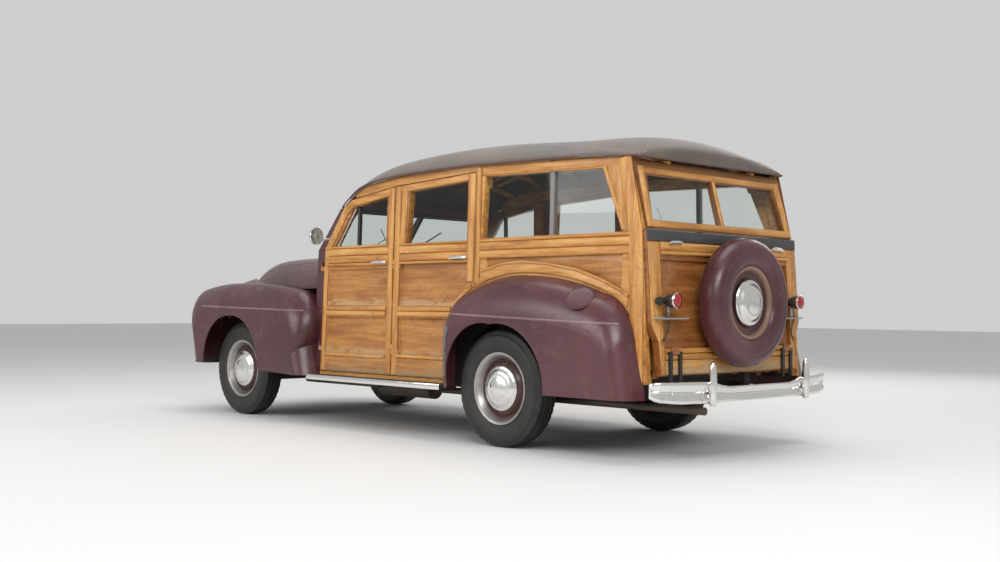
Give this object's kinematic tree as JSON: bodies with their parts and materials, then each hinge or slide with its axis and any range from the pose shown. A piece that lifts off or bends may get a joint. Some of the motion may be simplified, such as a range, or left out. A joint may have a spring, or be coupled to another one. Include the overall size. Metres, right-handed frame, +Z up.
{
  "type": "station wagon",
  "caption": "Wood-bodied station wagon of the late 1940s with maroon fenders, fabric roof, four doors, two-part rear gate and a spare wheel on the tailgate",
  "frame": {"origin": "middle of the bounding box, on the ground", "axes": "+X forward along the length, +Y to the left of the car, +Z up"},
  "size_m": [5.034, 1.8933, 1.9441],
  "materials": {
    "body_paint": "worn satin maroon paint",
    "wheel_paint": "worn maroon paint",
    "frame_wood": "varnished, weathered amber frame wood",
    "roof_fabric": "aged brown-grey coated fabric",
    "glass": "clear, slightly dusty",
    "bright_metal": "dented and dulled bright plating",
    "tyre_rubber": "matte black rubber",
    "seat_cover": "worn grey-brown seat covering",
    "chassis": "dull black paint with road dust",
    "bare_steel": "heat-browned steel",
    "engine": "oily cast iron",
    "running_board_rubber": "ribbed black rubber",
    "bracket_paint": "light grey paint",
    "dark_plastic": "dark moulded plastic"
  },
  "bodies": {
    "root": {"frame": "chassis", "cross_members": "chassis", "engine_block": "engine", "radiator": "chassis", "front_axle": "chassis", "rear_axle": "chassis", "springs": "chassis", "fuel_tank": "chassis", "exhaust": "bare_steel", "floor": "chassis", "cowl": "body_paint", "windshield_glass": "glass", "dashboard": "body_paint", "front_seat": "seat_cover", "middle_seat": "seat_cover", "rear_seat": "seat_cover", "front_fenders": "body_paint", "grille_panel": "body_paint", "headlamps": "bright_metal", "front_bumper": "bright_metal", "rear_bumper": "bright_metal", "running_boards": "running_board_rubber", "rear_fenders": "body_paint", "body_sides": "frame_wood", "roof": "roof_fabric", "quarter_glass": "glass"},
    "hood": {"hood": "body_paint"},
    "front_door_left": {"front_door_left": "frame_wood", "front_door_left_glass": "glass", "mirror": "bright_metal"},
    "front_door_right": {"front_door_right": "frame_wood", "front_door_right_glass": "glass"},
    "rear_door_left": {"rear_door_left": "frame_wood", "rear_door_left_glass": "glass"},
    "rear_door_right": {"rear_door_right": "frame_wood", "rear_door_right_glass": "glass"},
    "liftgate": {"liftgate": "frame_wood", "liftgate_glass": "glass"},
    "tailgate": {"tailgate": "frame_wood", "spare_tyre": "tyre_rubber", "spare_wheel": "wheel_paint", "tail_lamps": "bracket_paint"},
    "steering_wheel": {"steering_wheel": "dark_plastic"},
    "knuckle_left": {"knuckle_left": "chassis"},
    "knuckle_right": {"knuckle_right": "chassis"},
    "front_wheel_left": {"tyre_front_left": "tyre_rubber", "wheel_front_left": "wheel_paint"},
    "front_wheel_right": {"tyre_front_right": "tyre_rubber", "wheel_front_right": "wheel_paint"},
    "rear_wheel_left": {"tyre_rear_left": "tyre_rubber", "wheel_rear_left": "wheel_paint"},
    "rear_wheel_right": {"tyre_rear_right": "tyre_rubber", "wheel_rear_right": "wheel_paint"}
  },
  "joints": [
    {"name": "hood_lift", "type": "hinge", "parent": "root", "child": "hood", "pos_m": [0.841, 0, 1.246], "axis": [0, -1, 0], "range_deg": [0, 48]},
    {"name": "front_door_left_swing", "type": "hinge", "parent": "root", "child": "front_door_left", "pos_m": [0.739, 0.782, 0.37731], "axis": [0, 0.0262, -0.9997], "range_deg": [0, 65]},
    {"name": "front_door_right_swing", "type": "hinge", "parent": "root", "child": "front_door_right", "pos_m": [0.739, -0.782, 0.37731], "axis": [0, 0.0262, 0.9997], "range_deg": [0, 65]},
    {"name": "rear_door_left_swing", "type": "hinge", "parent": "root", "child": "rear_door_left", "pos_m": [-0.079, 0.782, 0.37731], "axis": [0, 0.0262, -0.9997], "range_deg": [0, 65]},
    {"name": "rear_door_right_swing", "type": "hinge", "parent": "root", "child": "rear_door_right", "pos_m": [-0.079, -0.782, 0.37731], "axis": [0, 0.0262, 0.9997], "range_deg": [0, 65]},
    {"name": "liftgate_lift", "type": "hinge", "parent": "root", "child": "liftgate", "pos_m": [-2.125, 0, 1.692], "axis": [0, 1, 0], "range_deg": [0, 80]},
    {"name": "tailgate_drop", "type": "hinge", "parent": "root", "child": "tailgate", "pos_m": [-2.302, 0, 0.6], "axis": [0, -1, 0], "range_deg": [0, 90]},
    {"name": "steer_left", "type": "hinge", "parent": "root", "child": "knuckle_left", "pos_m": [1.719, 0.655, 0.355], "axis": [0, 0, 1], "range_deg": [-30, 30]},
    {"name": "steer_right", "type": "hinge", "parent": "root", "child": "knuckle_right", "pos_m": [1.719, -0.655, 0.355], "axis": [0, 0, 1], "range_deg": [-30, 30]},
    {"name": "steering_wheel_turn", "type": "hinge", "parent": "root", "child": "steering_wheel", "pos_m": [0.275, 0.372, 1.128], "axis": [-0.7986, 0, 0.6018], "range_deg": [-540, 540]},
    {"name": "front_wheel_left_spin", "type": "hinge", "parent": "knuckle_left", "child": "front_wheel_left", "pos_m": [1.719, 0.7365, 0.355], "axis": [0, 1, 0], "continuous": true},
    {"name": "front_wheel_right_spin", "type": "hinge", "parent": "knuckle_right", "child": "front_wheel_right", "pos_m": [1.719, -0.7365, 0.355], "axis": [0, 1, 0], "continuous": true},
    {"name": "rear_wheel_left_spin", "type": "hinge", "parent": "root", "child": "rear_wheel_left", "pos_m": [-1.177, 0.762, 0.355], "axis": [0, 1, 0], "continuous": true},
    {"name": "rear_wheel_right_spin", "type": "hinge", "parent": "root", "child": "rear_wheel_right", "pos_m": [-1.177, -0.762, 0.355], "axis": [0, 1, 0], "continuous": true}
  ],
  "couplings": [
    {"joint": "steer_right", "follows": "steer_left", "ratio": 1},
    {"joint": "steering_wheel_turn", "follows": "steer_left", "ratio": 18}
  ]
}
